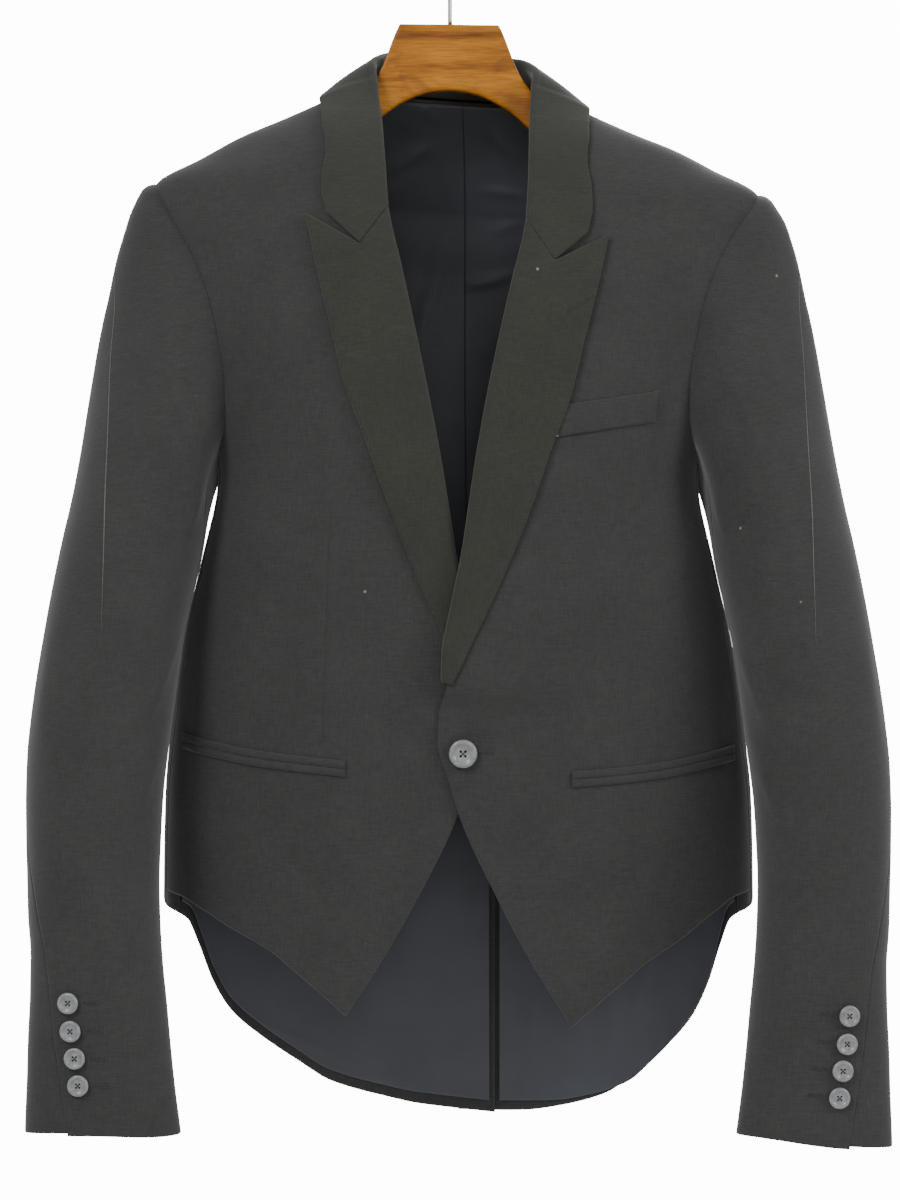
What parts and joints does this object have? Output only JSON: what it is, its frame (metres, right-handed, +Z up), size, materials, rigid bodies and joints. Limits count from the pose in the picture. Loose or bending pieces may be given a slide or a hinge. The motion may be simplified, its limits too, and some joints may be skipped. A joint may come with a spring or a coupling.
{
  "type": "spencer jacket on a wooden suit hanger",
  "caption": "Cropped tailored evening jacket with peak lapels, pointed fronts and a rounded vented back, hanging on a wooden suit hanger by its steel hook.",
  "frame": {"origin": "the point inside the top of the hook where a rail bears, with the jacket hanging below it", "axes": "+Z up, -Y towards the jacket's front, +X towards the wearer's left, which is the viewer's right from the front"},
  "size_m": [0.607, 0.2161, 0.8711],
  "materials": {
    "cloth": "matt charcoal worsted wool",
    "lining": "navy satin lining",
    "button": "polished grey horn",
    "wood": "golden brown stain under satin varnish",
    "steel": "plated steel wire"
  },
  "bodies": {
    "root": {"hanger": "wood", "hook": "steel", "collar": "cloth", "breast_welt": "cloth", "front_button": "button", "front_left": "cloth", "side_left": "cloth", "back_left": "cloth", "lapel_left": "cloth", "top_sleeve_left": "cloth", "under_sleeve_left": "cloth", "jet_upper_left": "cloth", "jet_lower_left": "cloth", "lining_left": "lining", "cuff_button_left_1": "button", "cuff_button_left_2": "button", "cuff_button_left_3": "button", "cuff_button_left_4": "button", "front_right": "cloth", "side_right": "cloth", "back_right": "cloth", "lapel_right": "cloth", "top_sleeve_right": "cloth", "under_sleeve_right": "cloth", "jet_upper_right": "cloth", "jet_lower_right": "cloth", "lining_right": "lining", "cuff_button_right_1": "button", "cuff_button_right_2": "button", "cuff_button_right_3": "button", "cuff_button_right_4": "button"}
  },
  "joints": []
}
